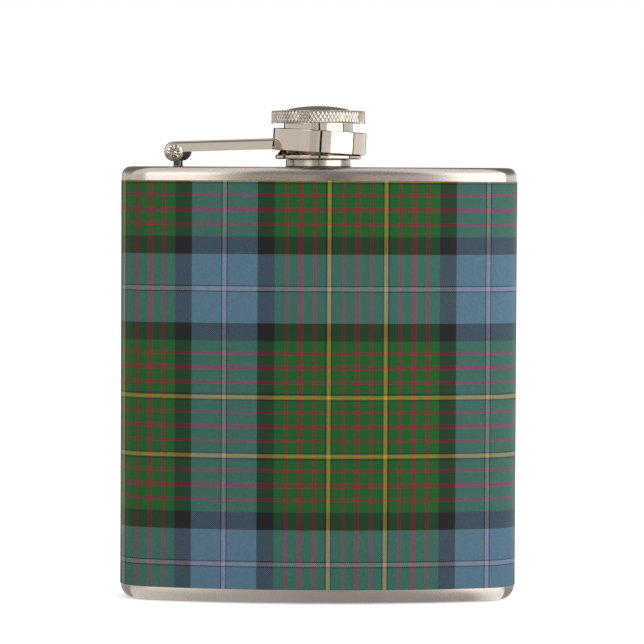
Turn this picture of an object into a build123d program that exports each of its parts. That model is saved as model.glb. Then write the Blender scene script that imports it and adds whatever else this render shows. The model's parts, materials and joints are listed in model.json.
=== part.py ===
from build123d import *
import os
from math import sqrt

# A curved steel hip flask with a captive screw cap.
#
# Frame: origin on the standing surface under the middle of the body, +Z up, +X towards the
# cap's free side (the hinge is at -X), -Y towards the convex front. Sizes are in millimetres.

# Body section: a convex front, a concave back that follows the hip, and narrow rounded sides.
BODY_WIDTH = 92.6
BODY_HEIGHT = 101.3
BODY_THICKNESS = 20.6
FRONT_RADIUS = 145.0
BACK_RADIUS = 160.0
CORNER_RADIUS = 9.0
SHEET = 0.5

# End pans: stamped plates with a rounded edge and a short skirt, welded to the tube.
BOTTOM_EDGE_RADIUS = 3.2
TOP_EDGE_RADIUS = 2.0
PAN_SKIRT = 5.0
WELD_WIDTH = 0.4
RECESS_INSET = 4.5
RECESS_DEPTH = 0.8

# Printed vinyl wrap.
WRAP_BOTTOM = 3.45
WRAP_TOP = 98.1
WRAP_THICKNESS = 0.2
WRAP_SEAM_GAP = 0.3

# Neck: a plain base that shows under the cap, and a threaded mouth inside it. It is welded a
# little to the hinge's side of the middle.
NECK_X = -0.3
NECK_BASE_RADIUS = 7.55
NECK_BASE_HEIGHT = 1.75
NECK_HEIGHT = 5.3
NECK_ROOT_RADIUS = 6.45
NECK_SPIGOT_RADIUS = 6.9
NECK_SPIGOT_DEPTH = 1.0
MOUTH_RADIUS = 5.5
FIT_GAP = 0.05
WELD_FILLET = 0.3

# Screw thread, right-handed, with blunt crests. The cap's ridge starts half a turn round from
# the neck's, so each runs in the middle of the other's groove.
THREAD_PITCH = 1.8
THREAD_TURNS = 1.25
THREAD_DEPTH = 0.45
THREAD_BASE = 0.7
THREAD_CREST = 0.4
THREAD_START = 0.5

# Cap: a knurled head with a spigot, and a sleeve pressed round the spigot.
CAP_CLEARANCE = 1.8
SLEEVE_RADIUS = 8.05
SLEEVE_BORE_RADIUS = 7.2
SLEEVE_HEIGHT = 8.26
FLANGE_RADIUS = 10.0
FLANGE_THICKNESS = 0.85
HEAD_RADIUS = 11.0
HEAD_SIDE_HEIGHT = 3.0
HEAD_EDGE_CHAMFER = 0.12
HEAD_SHOULDER_RADIUS = 7.8
HEAD_SHOULDER_RISE = 0.3
HEAD_DOME_RISE = 0.95
GASKET_THICKNESS = 1.2
GASKET_RADIUS = 7.0

# Collar: an inverted cup, tilted and shifted a little by its play on the sleeve.
COLLAR_RADIUS = 10.9
COLLAR_HEIGHT = 5.2
COLLAR_WALL = 0.45
COLLAR_WEB = 0.6
COLLAR_HOLE_RADIUS = 8.9
COLLAR_MIDDLE = 5.92
COLLAR_TILT = 3.3
COLLAR_SHIFT = 0.3

# Hinge: a post with a rounded lug, a rivet, and a channel arm whose two ears clasp the lug.
PIVOT_X = -33.85
PIVOT_RISE = 3.5
POST_X = -33.0
POST_RADIUS = 1.08
LUG_X = -32.1
LUG_RISE = 3.6
LUG_RADIUS = 2.25
LUG_NOSE_RADIUS = 1.5
LUG_WIDTH = 3.2
ARM_SHEET = 0.6
ARM_SIDE_GAP = 0.15
ARM_HEIGHT = 2.5
ARM_SHOULDER_RADIUS = 0.55
ARM_SLOPE = 2.0
ARM_WEB_START = 4.6
EAR_RADIUS = 2.35
RIVET_RADIUS = 0.8
RIVET_HEAD_RADIUS = 1.9
RIVET_HEAD_HEIGHT = 0.6

# Places worked out from the sizes above.
NECK_BASE_TOP = BODY_HEIGHT + NECK_BASE_HEIGHT
NECK_TOP = BODY_HEIGHT + NECK_HEIGHT
SLEEVE_BOTTOM = BODY_HEIGHT + CAP_CLEARANCE
SLEEVE_TOP = SLEEVE_BOTTOM + SLEEVE_HEIGHT
GASKET_BOTTOM = NECK_TOP + FIT_GAP
SPIGOT_BOTTOM = GASKET_BOTTOM + GASKET_THICKNESS
PIVOT_Z = BODY_HEIGHT + PIVOT_RISE
ARM_INNER_WIDTH = LUG_WIDTH + 2 * ARM_SIDE_GAP
ARM_OUTER_WIDTH = ARM_INNER_WIDTH + 2 * ARM_SHEET
CUT = 40.0


def front_depth(x):
    """How far the front face falls back at a distance x from the middle."""
    return FRONT_RADIUS - sqrt(FRONT_RADIUS**2 - x**2)


def back_depth(x):
    """How deep the back face lies at a distance x from the middle."""
    return BODY_THICKNESS + BACK_RADIUS - sqrt(BACK_RADIUS**2 - x**2)


def body_section():
    """The kidney outline of the steel body, with its bounding box centred on the origin."""
    half = BODY_WIDTH / 2
    front = ThreePointArc((-half, front_depth(half)), (0, 0), (half, front_depth(half)))
    right = Line(front @ 1, (half, back_depth(half)))
    back = ThreePointArc(right @ 1, (0, BODY_THICKNESS), (-half, back_depth(half)))
    left = Line(back @ 1, front @ 0)
    outline = fillet(make_face([front, right, back, left]).vertices(), CORNER_RADIUS)
    return Pos(0, -outline.bounding_box().center().Y, 0) * outline


SECTION = body_section()
FRONT_Y = SECTION.bounding_box().min.Y
NECK_Y = FRONT_Y + BODY_THICKNESS / 2
SEAM_Y = NECK_Y + front_depth(BODY_WIDTH / 2)


def prism(grow, bottom, top):
    """The body section, grown or shrunk, drawn up from one height to another."""
    outline = offset(SECTION, grow) if grow else SECTION
    return Pos(0, 0, bottom) * extrude(outline, top - bottom)


def disc(radius, bottom, top, x=NECK_X, y=NECK_Y):
    """A round solid on a vertical axis."""
    return Pos(x, y, (bottom + top) / 2) * Cylinder(radius, top - bottom)


def revolved(points):
    """A closed outline of (radius, height) points, revolved round the cap's axis."""
    outline = make_face(Polyline([(r, 0, z) for r, z in points], close=True))
    return Pos(NECK_X, NECK_Y, 0) * revolve(outline, Axis.Z)


def pan(edge_radius):
    """A stamped end plate standing on z = 0 with its skirt upwards."""
    outer = prism(0, 0, PAN_SKIRT)
    outer = fillet(outer.edges().group_by(Axis.Z)[0], edge_radius)
    inner = prism(-SHEET, SHEET, PAN_SKIRT + 1)
    inner = fillet(inner.edges().group_by(Axis.Z)[0], edge_radius - SHEET)
    return outer - inner


def bottom_plate():
    """The bottom pan, with a shallow panel pressed inwards so that it stands on its rim."""
    raised = prism(-RECESS_INSET + SHEET, 0.1, RECESS_DEPTH + SHEET)
    recess = prism(-RECESS_INSET, -1, RECESS_DEPTH)
    return pan(BOTTOM_EDGE_RADIUS) + raised - recess


def top_plate():
    """The top pan, turned over, with the hole that takes the neck's spigot."""
    plate = Pos(0, 0, BODY_HEIGHT) * mirror(pan(TOP_EDGE_RADIUS), Plane.XY)
    hole = disc(NECK_SPIGOT_RADIUS + FIT_GAP, BODY_HEIGHT - 2, BODY_HEIGHT + 1)
    return plate - hole


def seam_box(grow=0.0):
    """The slot along the narrow side where the rolled sheet's edges meet."""
    return Pos(BODY_WIDTH / 2, SEAM_Y, BODY_HEIGHT / 2) * Box(CORNER_RADIUS, WELD_WIDTH + grow, CUT * 4)


def tube_wall(bottom, top):
    """A closed ring of body sheet between two heights."""
    return prism(0, bottom, top) - prism(-SHEET, bottom - 1, top + 1)


def body_shell():
    """The rolled body tube, open along its welded seam."""
    wall = tube_wall(PAN_SKIRT + WELD_WIDTH, BODY_HEIGHT - PAN_SKIRT - WELD_WIDTH)
    return wall - seam_box()


def side_seam_weld():
    """The weld that closes the rolled tube."""
    wall = tube_wall(PAN_SKIRT + WELD_WIDTH, BODY_HEIGHT - PAN_SKIRT - WELD_WIDTH)
    return wall & seam_box()


def bottom_seam_weld():
    """The weld between the tube and the bottom pan."""
    return tube_wall(PAN_SKIRT, PAN_SKIRT + WELD_WIDTH)


def top_seam_weld():
    """The weld between the tube and the top pan."""
    return tube_wall(BODY_HEIGHT - PAN_SKIRT - WELD_WIDTH, BODY_HEIGHT - PAN_SKIRT)


def vinyl_wrap():
    """The printed wrap, one strip whose ends meet in the middle of the back."""
    skin = prism(WRAP_THICKNESS, WRAP_BOTTOM, WRAP_TOP) - prism(0, WRAP_BOTTOM - 1, WRAP_TOP + 1)
    gap = Pos(0, NECK_Y + CUT / 2, BODY_HEIGHT / 2) * Box(WRAP_SEAM_GAP, CUT, CUT * 4)
    return skin - gap


def thread_ridge(radius, outward, start_angle):
    """A right-handed helical ridge on a wall of the given radius, standing outwards or inwards."""
    sink = 0.1
    helix = Helix(THREAD_PITCH, THREAD_PITCH * THREAD_TURNS, radius)
    tip = radius + outward * THREAD_DEPTH
    root = radius - outward * sink
    outline = make_face(
        Polyline(
            (root, 0, -THREAD_BASE / 2),
            (tip, 0, -THREAD_CREST / 2),
            (tip, 0, THREAD_CREST / 2),
            (root, 0, THREAD_BASE / 2),
            close=True,
        )
    )
    ridge = sweep(outline, path=helix, is_frenet=True)
    return Pos(NECK_X, NECK_Y, NECK_BASE_TOP + THREAD_START) * Rot(0, 0, start_angle) * ridge


def neck():
    """The spout: spigot, plain base, threaded mouth and the bore through them."""
    spigot_bottom = BODY_HEIGHT - NECK_SPIGOT_DEPTH
    body = disc(NECK_SPIGOT_RADIUS, spigot_bottom, BODY_HEIGHT)
    body += disc(NECK_BASE_RADIUS, BODY_HEIGHT, NECK_BASE_TOP)
    body += disc(NECK_ROOT_RADIUS, NECK_BASE_TOP, NECK_TOP)
    body += thread_ridge(NECK_ROOT_RADIUS, 1, 0)
    return body - disc(MOUTH_RADIUS, spigot_bottom - 1, NECK_TOP + 1)


def foot_fillet(radius, x):
    """A small triangular weld round the foot of a round piece on the top plate."""
    cone = Cone(radius + WELD_FILLET, radius, WELD_FILLET)
    weld = cone - Cylinder(radius, WELD_FILLET)
    return Pos(x, NECK_Y, BODY_HEIGHT + WELD_FILLET / 2) * weld


def neck_weld():
    """The fillet weld round the neck."""
    return foot_fillet(NECK_BASE_RADIUS, NECK_X)


def post_weld():
    """The fillet weld round the hinge post."""
    return foot_fillet(POST_RADIUS, POST_X)


def across(radius, width):
    """A round solid on the hinge's axis, centred on the cap's plane."""
    return Pos(PIVOT_X, NECK_Y, PIVOT_Z) * Rot(90, 0, 0) * Cylinder(radius, width)


def hinge_post():
    """The post on the top plate, with its rounded lug and the hole for the rivet."""
    lug_z = BODY_HEIGHT + LUG_RISE
    with BuildSketch(Plane.XZ) as side:
        with Locations((PIVOT_X, PIVOT_Z)):
            Circle(LUG_NOSE_RADIUS)
        with Locations((LUG_X, lug_z)):
            Circle(LUG_RADIUS)
        make_hull()
    lug = Pos(0, NECK_Y, 0) * extrude(side.sketch, LUG_WIDTH / 2, both=True)
    return disc(POST_RADIUS, BODY_HEIGHT, lug_z, POST_X) + lug - across(RIVET_RADIUS + FIT_GAP, LUG_WIDTH + 1)


def hinge_rivet():
    """The rivet: a pin with a domed head on each side of the arm."""
    pin = across(RIVET_RADIUS, ARM_OUTER_WIDTH)
    rim = ARM_OUTER_WIDTH / 2
    profile = make_face(
        [
            Line((0, rim), (RIVET_HEAD_RADIUS, rim)),
            RadiusArc(
                (RIVET_HEAD_RADIUS, rim),
                (0, rim + RIVET_HEAD_HEIGHT),
                -(RIVET_HEAD_RADIUS**2 + RIVET_HEAD_HEIGHT**2) / (2 * RIVET_HEAD_HEIGHT),
            ),
            Line((0, rim + RIVET_HEAD_HEIGHT), (0, rim)),
        ]
    )
    head = revolve(profile, Axis.Y)
    place = Pos(PIVOT_X, NECK_Y, PIVOT_Z)
    return pin + place * head + place * mirror(head, Plane.XZ)


def collar_place():
    """The middle of the collar, tilted as it rests on the sleeve."""
    return Pos(NECK_X + COLLAR_SHIFT, NECK_Y, BODY_HEIGHT + COLLAR_MIDDLE) * Rot(0, COLLAR_TILT, 0)


def arm_collar():
    """The cup-shaped ring that holds the cap captive."""
    inside = Pos(0, 0, -COLLAR_WEB) * Cylinder(COLLAR_RADIUS - COLLAR_WALL, COLLAR_HEIGHT)
    cup = Cylinder(COLLAR_RADIUS, COLLAR_HEIGHT) - inside - Cylinder(COLLAR_HOLE_RADIUS, CUT)
    return collar_place() * cup


def cap_arm():
    """The channel arm, with an ear each side of the lug and its end welded to the collar."""
    length = -PIVOT_X
    bar = Pos(length / 2, 0, EAR_RADIUS - ARM_HEIGHT / 2) * Box(length, ARM_OUTER_WIDTH, ARM_HEIGHT)
    shoulders = bar.edges().filter_by(Axis.X).group_by(Axis.Z)[-1]
    bar = fillet(shoulders, ARM_SHOULDER_RADIUS)
    bar += Rot(90, 0, 0) * Cylinder(EAR_RADIUS, ARM_OUTER_WIDTH)
    channel = Box(CUT * 2, ARM_INNER_WIDTH, CUT)
    web_floor = EAR_RADIUS - ARM_SHEET
    bar -= Pos(ARM_WEB_START - CUT, 0, 0) * channel
    bar -= Pos(0, 0, web_floor - CUT / 2) * channel
    bar -= Rot(90, 0, 0) * Cylinder(RIVET_RADIUS + FIT_GAP, CUT)
    placed = Pos(PIVOT_X, NECK_Y, PIVOT_Z) * Rot(0, -ARM_SLOPE, 0) * bar
    return placed - collar_place() * Cylinder(COLLAR_RADIUS, CUT)


def cap_sleeve():
    """The cap's sleeve, with its flared flange below and its screw thread inside."""
    flange_top = SLEEVE_BOTTOM + FLANGE_THICKNESS
    flare_top = flange_top + FLANGE_RADIUS - SLEEVE_RADIUS
    wall = revolved(
        [
            (SLEEVE_BORE_RADIUS, SLEEVE_BOTTOM),
            (FLANGE_RADIUS, SLEEVE_BOTTOM),
            (FLANGE_RADIUS, flange_top),
            (SLEEVE_RADIUS, flare_top),
            (SLEEVE_RADIUS, SLEEVE_TOP),
            (SLEEVE_BORE_RADIUS, SLEEVE_TOP),
        ]
    )
    return wall + thread_ridge(SLEEVE_BORE_RADIUS, -1, 180)


def cap_head():
    """The knurled head, domed on top, with the spigot that fills the sleeve."""
    side_top = SLEEVE_TOP + HEAD_SIDE_HEIGHT
    shoulder = side_top + HEAD_SHOULDER_RISE
    head = revolved(
        [
            (0, SLEEVE_TOP),
            (HEAD_RADIUS - HEAD_EDGE_CHAMFER, SLEEVE_TOP),
            (HEAD_RADIUS, SLEEVE_TOP + HEAD_EDGE_CHAMFER),
            (HEAD_RADIUS, side_top - HEAD_EDGE_CHAMFER),
            (HEAD_RADIUS - HEAD_EDGE_CHAMFER, side_top),
            (HEAD_SHOULDER_RADIUS, shoulder),
            (0, shoulder),
        ]
    )
    dome_radius = (HEAD_SHOULDER_RADIUS**2 + HEAD_DOME_RISE**2) / (2 * HEAD_DOME_RISE)
    ball = Pos(NECK_X, NECK_Y, shoulder + HEAD_DOME_RISE - dome_radius) * Sphere(dome_radius)
    dome = ball & disc(HEAD_SHOULDER_RADIUS, shoulder, shoulder + HEAD_DOME_RISE)
    spigot = disc(SLEEVE_BORE_RADIUS - FIT_GAP, SPIGOT_BOTTOM, SLEEVE_TOP)
    return head + dome + spigot


def cap_gasket():
    """The soft seal that the cap presses on the mouth."""
    return disc(GASKET_RADIUS, GASKET_BOTTOM, SPIGOT_BOTTOM)


PARTS = {
    "body_shell": body_shell,
    "side_seam_weld": side_seam_weld,
    "bottom_plate": bottom_plate,
    "bottom_seam_weld": bottom_seam_weld,
    "top_plate": top_plate,
    "top_seam_weld": top_seam_weld,
    "vinyl_wrap": vinyl_wrap,
    "neck": neck,
    "neck_weld": neck_weld,
    "hinge_post": hinge_post,
    "post_weld": post_weld,
    "hinge_rivet": hinge_rivet,
    "cap_arm": cap_arm,
    "arm_collar": arm_collar,
    "cap_sleeve": cap_sleeve,
    "cap_head": cap_head,
    "cap_gasket": cap_gasket,
}

os.makedirs("parts", exist_ok=True)
for name, make in PARTS.items():
    export_step(make(), f"parts/{name}.step")
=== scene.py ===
"""Looks of a curved hip flask with a tartan wrap and a captive screw cap, built round its CAD frame."""

import json
import logging
import math
from dataclasses import dataclass, field
from enum import Enum

import bmesh
import bpy
from bmesh.types import BMEdge, BMesh, BMVert
from mathutils import Matrix, Vector


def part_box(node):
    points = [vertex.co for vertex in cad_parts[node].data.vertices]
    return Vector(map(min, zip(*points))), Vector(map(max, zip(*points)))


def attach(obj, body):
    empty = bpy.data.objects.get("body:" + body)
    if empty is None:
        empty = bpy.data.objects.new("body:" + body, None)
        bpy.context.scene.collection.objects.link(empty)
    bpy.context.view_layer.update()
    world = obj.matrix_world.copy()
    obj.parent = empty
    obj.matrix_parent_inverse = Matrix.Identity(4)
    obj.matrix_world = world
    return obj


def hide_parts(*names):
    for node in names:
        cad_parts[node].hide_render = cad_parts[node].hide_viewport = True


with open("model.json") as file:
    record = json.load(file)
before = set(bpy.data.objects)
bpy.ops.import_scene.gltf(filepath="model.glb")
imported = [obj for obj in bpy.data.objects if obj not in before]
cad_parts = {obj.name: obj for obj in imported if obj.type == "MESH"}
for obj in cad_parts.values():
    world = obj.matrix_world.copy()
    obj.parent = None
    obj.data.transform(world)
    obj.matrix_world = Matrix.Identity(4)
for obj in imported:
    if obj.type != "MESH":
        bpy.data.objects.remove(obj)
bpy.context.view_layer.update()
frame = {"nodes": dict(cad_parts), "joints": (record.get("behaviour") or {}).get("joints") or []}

LOG = logging.getLogger("hip_flask")
MM = 0.001
X_AXIS = Vector((1, 0, 0))
Y_AXIS = Vector((0, 1, 0))
Z_AXIS = Vector((0, 0, 1))


class Body(Enum):
    """The CAD bodies that pieces ride on."""

    FLASK = "flask"
    ARM = "arm"
    SEAL = "seal"
    CAP = "cap"


class Slot(Enum):
    """The record's material slots."""

    BODY_STEEL = "body_steel"
    WELD_STEEL = "weld_steel"
    TURNED_STEEL = "turned_steel"
    POLISHED_STEEL = "polished_steel"
    PRINTED_VINYL = "printed_vinyl"
    SEAL_RUBBER = "seal_rubber"


# ---------------------------------------------------------------- finishes


class Bench:
    """A material's node tree, with short ways to add and join its nodes."""

    def __init__(self, name: str) -> None:
        """Starts a material with one shader.

        Args:
            name: the material's name.
        """
        self.material = bpy.data.materials.new(name)
        self.material.use_nodes = True
        self.tree = self.material.node_tree
        self.shader = self.tree.nodes["Principled BSDF"]

    def node(self, kind: str, **settings: object) -> bpy.types.Node:
        """Adds a node and sets its properties.

        Args:
            kind: the node's type without its ShaderNode prefix.
            **settings: properties to set on it.

        Returns:
            The new node.
        """
        made = self.tree.nodes.new("ShaderNode" + kind)
        for key, value in settings.items():
            setattr(made, key, value)
        return made

    def feed(self, node: bpy.types.Node, socket: int | str, source: object) -> None:
        """Links another socket to a node's input, or sets its value.

        Args:
            node: the node to feed.
            socket: its input, by number or name.
            source: an output socket, or a value.
        """
        if isinstance(source, bpy.types.NodeSocket):
            self.tree.links.new(source, node.inputs[socket])
        else:
            node.inputs[socket].default_value = source

    def sum(self, operation: str, *values: object) -> bpy.types.NodeSocket:
        """Works out one Math node.

        Args:
            operation: the node's operation.
            *values: sockets or numbers.

        Returns:
            The result's socket.
        """
        node = self.node("Math", operation=operation)
        for place, value in enumerate(values):
            self.feed(node, place, value)
        return node.outputs[0]

    def blend(self, share: object, first: object, second: object, mode: str = "MIX") -> bpy.types.NodeSocket:
        """Mixes two colours.

        Args:
            share: how much of the second shows.
            first: a colour or socket.
            second: a colour or socket.
            mode: the blend type.

        Returns:
            The mixed colour's socket.
        """
        node = self.node("Mix", data_type="RGBA", blend_type=mode)
        self.feed(node, 0, share)
        self.feed(node, 6, first)
        self.feed(node, 7, second)
        return node.outputs[2]

    def noise(self, stretch: tuple[float, float, float], scale: float, detail: float) -> bpy.types.NodeSocket:
        """Adds noise on the piece's own coordinates.

        Args:
            stretch: the pattern's scale along each axis.
            scale: the noise's scale, per metre.
            detail: how many finer layers it has.

        Returns:
            The noise's value socket.
        """
        place = self.node("TexCoord")
        mapping = self.node("Mapping")
        self.feed(mapping, 0, place.outputs["Object"])
        self.feed(mapping, 3, stretch)
        texture = self.node("TexNoise")
        self.feed(texture, "Vector", mapping.outputs[0])
        self.feed(texture, "Scale", scale)
        self.feed(texture, "Detail", detail)
        return texture.outputs[0]

    def ranged(self, value: bpy.types.NodeSocket, low: float, high: float) -> bpy.types.NodeSocket:
        """Maps the middle of a noise's range onto low to high.

        Args:
            value: the noise's socket.
            low: the value for the darkest noise.
            high: the value for the brightest.

        Returns:
            The mapped value's socket.
        """
        node = self.node("MapRange")
        for place, amount in enumerate((value, 0.3, 0.7, low, high)):
            self.feed(node, place, amount)
        return node.outputs[0]

    def bump(self, height: object, depth: float, under: object = None) -> bpy.types.NodeSocket:
        """Adds a bump.

        Args:
            height: the height's socket, 0 to 1.
            depth: what a height of 1 stands for, in metres.
            under: a normal to start from, or None.

        Returns:
            The bumped normal's socket.
        """
        node = self.node("Bump")
        self.feed(node, "Strength", 1.0)
        self.feed(node, "Distance", depth)
        self.feed(node, "Height", height)
        if under is not None:
            self.feed(node, "Normal", under)
        return node.outputs[0]


def linear(red: int, green: int, blue: int) -> tuple[float, float, float, float]:
    """Turns a display colour into the linear one that shaders take.

    Args:
        red: 0 to 255.
        green: 0 to 255.
        blue: 0 to 255.

    Returns:
        The linear colour, with an alpha of 1.
    """

    def level(value: int) -> float:
        """One channel's linear level."""
        share = value / 255
        return share / 12.92 if share <= 0.04045 else ((share + 0.055) / 1.055) ** 2.4

    return (level(red), level(green), level(blue), 1.0)


@dataclass(frozen=True)
class Steel:
    """A steel finish: how bright, how smooth and which way its marks run."""

    name: str
    colour: tuple[int, int, int]
    smooth: float
    rough: float
    marks: tuple[float, float, float] = (1.0, 1.0, 1.0)
    mark_scale: float = 900.0
    mark_depth: float = 0.0
    stain: float = 0.06
    brushed: float = 0.0

    def material(self) -> bpy.types.Material:
        """Builds the finish.

        Returns:
            The material.
        """
        bench = Bench(self.name)
        cloud = bench.noise((1, 1, 1), 90.0, 3.0)
        marks = bench.noise(self.marks, self.mark_scale, 4.0)
        pale = linear(*self.colour)
        dull = tuple(level * (1 - self.stain * 2) for level in pale[:3]) + (1.0,)
        bench.feed(bench.shader, "Base Color", bench.blend(bench.ranged(cloud, 0.0, 1.0), dull, pale))
        bench.feed(bench.shader, "Metallic", 1.0)
        bench.feed(bench.shader, "Roughness", bench.ranged(marks, self.smooth, self.rough))
        if self.mark_depth:
            bench.feed(bench.shader, "Normal", bench.bump(marks, self.mark_depth))
        if self.brushed:
            bench.feed(bench.shader, "Anisotropic", self.brushed)
            bench.feed(bench.shader, "Anisotropic Rotation", 0.25)
            tangent = bench.node("Tangent", direction_type="RADIAL", axis="Z")
            bench.feed(bench.shader, "Tangent", tangent.outputs[0])
        return bench.material


@dataclass(frozen=True)
class SealRubber:
    """The soft pale seal under the cap."""

    name: str = "soft_pale_rubber"
    colour: tuple[int, int, int] = (214, 211, 202)

    def material(self) -> bpy.types.Material:
        """Builds the finish.

        Returns:
            The material.
        """
        bench = Bench(self.name)
        pale = linear(*self.colour)
        dull = tuple(level * 0.86 for level in pale[:3]) + (1.0,)
        cloud = bench.noise((1, 1, 1), 300.0, 3.0)
        bench.feed(bench.shader, "Base Color", bench.blend(bench.ranged(cloud, 0.0, 1.0), dull, pale))
        bench.feed(bench.shader, "Roughness", bench.ranged(cloud, 0.42, 0.6))
        bench.feed(bench.shader, "Normal", bench.bump(bench.noise((1, 1, 1), 4000.0, 2.0), 0.01 * MM))
        return bench.material


class Yarn(Enum):
    """The tartan's colours, as display colours."""

    BLUE = (71, 99, 116)
    BLACK = (26, 26, 28)
    GREEN = (22, 80, 33)
    RED = (122, 24, 42)
    GOLD = (161, 131, 34)
    LILAC = (130, 123, 150)


@dataclass(frozen=True)
class TartanVinyl:
    """Satin vinyl printed with a woven tartan: the same half repeat, mirrored, both ways."""

    name: str = "printed_tartan_vinyl"
    sett: tuple[tuple[Yarn, float], ...] = (
        (Yarn.LILAC, 1.9), (Yarn.BLACK, 1.2), (Yarn.BLUE, 31.2), (Yarn.BLACK, 17.4), (Yarn.GREEN, 11.2),
        (Yarn.RED, 3.0), (Yarn.GREEN, 10.3), (Yarn.RED, 4.8), (Yarn.GREEN, 10.9), (Yarn.RED, 2.9),
        (Yarn.GREEN, 9.6), (Yarn.BLACK, 1.2), (Yarn.GREEN, 0.5), (Yarn.GOLD, 4.0), (Yarn.GREEN, 0.5),
        (Yarn.BLACK, 1.2), (Yarn.GREEN, 10.2), (Yarn.RED, 2.8), (Yarn.GREEN, 10.8), (Yarn.RED, 2.2),
    )
    half_repeat_across: float = 30.9 * MM
    half_repeat_up: float = 31.9 * MM
    lilac_across: float = -21.9 * MM
    lilac_up: float = 73.12 * MM
    yarns_per_thread: float = 2.0
    top_yarn: float = 0.78

    @property
    def threads(self) -> float:
        """Threads in half a repeat."""
        return sum(width for _, width in self.sett)

    @staticmethod
    def shown(yarn: Yarn) -> tuple[float, float, float, float]:
        """A yarn's display colour, 0 to 1."""
        red, green, blue = yarn.value
        return (red / 255, green / 255, blue / 255, 1.0)

    def stripes(self, bench: Bench, thread: bpy.types.NodeSocket) -> bpy.types.NodeSocket:
        """Colours the threads of one direction.

        Args:
            bench: the material's bench.
            thread: the thread's number, counted from the middle of a lilac stripe.

        Returns:
            The thread's colour socket.
        """
        folded = bench.sum("PINGPONG", thread, self.threads)
        ramp = bench.node("ValToRGB")
        ramp.color_ramp.interpolation = "CONSTANT"
        stops = ramp.color_ramp.elements
        stops.remove(stops[1])
        stops[0].color = self.shown(self.sett[0][0])
        start = self.sett[0][1]
        for yarn, width in self.sett[1:]:
            stops.new(start / self.threads).color = self.shown(yarn)
            start += width
        bench.feed(ramp, 0, bench.sum("DIVIDE", folded, self.threads))
        return ramp.outputs[0]

    def material(self) -> bpy.types.Material:
        """Builds the finish.

        Returns:
            The material.
        """
        bench = Bench(self.name)
        cloth = bench.node("UVMap", uv_map="cloth")
        split = bench.node("SeparateXYZ")
        bench.feed(split, 0, cloth.outputs[0])
        counts = []
        for output, middle, repeat in (
            (split.outputs[0], self.lilac_across, self.half_repeat_across),
            (split.outputs[1], self.lilac_up, self.half_repeat_up),
        ):
            offset = bench.sum("SUBTRACT", output, middle)
            counts.append(bench.sum("MULTIPLY", offset, self.threads / repeat))
        across, up = counts
        yarns = [bench.sum("FLOOR", bench.sum("MULTIPLY", count, self.yarns_per_thread)) for count in counts]
        step = bench.sum("FRACT", bench.sum("DIVIDE", bench.sum("ADD", *yarns), 4.0))
        twill = bench.sum("LESS_THAN", step, 0.5)
        share = bench.sum("MULTIPLY_ADD", twill, 2 * self.top_yarn - 1, 1 - self.top_yarn)
        mixed = bench.blend(share, self.stripes(bench, up), self.stripes(bench, across))
        gamma = bench.node("Gamma")
        bench.feed(gamma, 0, mixed)
        bench.feed(gamma, 1, 2.2)
        woven = gamma.outputs[0]
        ink = bench.ranged(bench.noise((1, 1, 1), 1500.0, 2.0), 0.0, 0.16)
        bench.feed(bench.shader, "Base Color", bench.blend(ink, woven, linear(30, 34, 36)))
        bench.feed(bench.shader, "Roughness", bench.ranged(bench.noise((1, 1, 1), 260.0, 3.0), 0.40, 0.50))
        bench.feed(bench.shader, "Specular IOR Level", 0.16)
        ridge = bench.bump(twill, 0.004 * MM)
        bench.feed(bench.shader, "Normal", bench.bump(bench.noise((1, 1, 1), 220.0, 2.0), 0.02 * MM, ridge))
        return bench.material


POLISHED = Steel("bright_polished_steel", (191, 180, 167), 0.035, 0.07, stain=0.02)
SATIN = Steel("satin_rim_steel", (204, 194, 184), 0.26, 0.29, (4, 4, 60), 500.0, 0.0002 * MM, 0.02, 0.88)
TURNED = Steel("turned_spout_steel", (188, 178, 167), 0.24, 0.28, (6, 6, 160), 400.0, 0.0005 * MM, 0.03, 0.6)
# The pillar's steel is painted much darker than the other turned steel: painted shade where the pillar and its
# lug stand under the arm.
SHADED_PILLAR_STEEL = Steel("pillar_steel_painted_shade", (92, 86, 80), 0.16, 0.3, (1, 1, 1), 1500.0, 0.01 * MM, 0.15)
KNURLED = Steel("knurled_steel", (206, 194, 180), 0.07, 0.16, (1, 1, 1), 2500.0, 0.0, 0.06)
WELD = Steel("weld_bead_steel", (176, 167, 158), 0.2, 0.36, (1, 1, 1), 1200.0, 0.02 * MM, 0.12)
INNER = Steel("inner_sheet_steel", (190, 182, 172), 0.25, 0.4, (3, 3, 50), 400.0, 0.004 * MM, 0.08)


# ---------------------------------------------------------------- shaping


@dataclass
class Piece:
    """A finished piece's name, body, slot and finish, and the CAD nodes that it stands for."""

    name: str
    body: Body
    slot: Slot
    finish: Steel | SealRubber | TartanVinyl
    stands_for: tuple[str, ...] = ()
    crease: float = 38.0

    def make(self, shape: BMesh, outward: bool = True) -> bpy.types.Object:
        """Turns a shape into the piece and puts it on its body.

        Args:
            shape: the piece's mesh, which is used up.
            outward: whether the faces are turned outwards first.

        Returns:
            The new object.
        """
        if outward:
            face_outwards(shape)
        for face in shape.faces:
            face.smooth = True
        for edge in shape.edges:
            if len(edge.link_faces) == 2 and edge.calc_face_angle() > math.radians(self.crease):
                edge.smooth = False
        mesh = bpy.data.meshes.new(self.name)
        shape.to_mesh(mesh)
        shape.free()
        mesh.materials.append(finish_of(self.finish))
        made = bpy.data.objects.new(self.name, mesh)
        bpy.context.scene.collection.objects.link(made)
        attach(made, self.body.value)
        if self.stands_for:
            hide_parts(*self.stands_for)
        LOG.info("%s: %d faces on %s", self.name, len(mesh.polygons), self.body.value)
        return made


def finish_of(finish: Steel | SealRubber | TartanVinyl) -> bpy.types.Material:
    """Builds a finish once, and finds it again after that.

    Args:
        finish: the finish.

    Returns:
        Its material.
    """
    return bpy.data.materials.get(finish.name) or finish.material()


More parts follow.
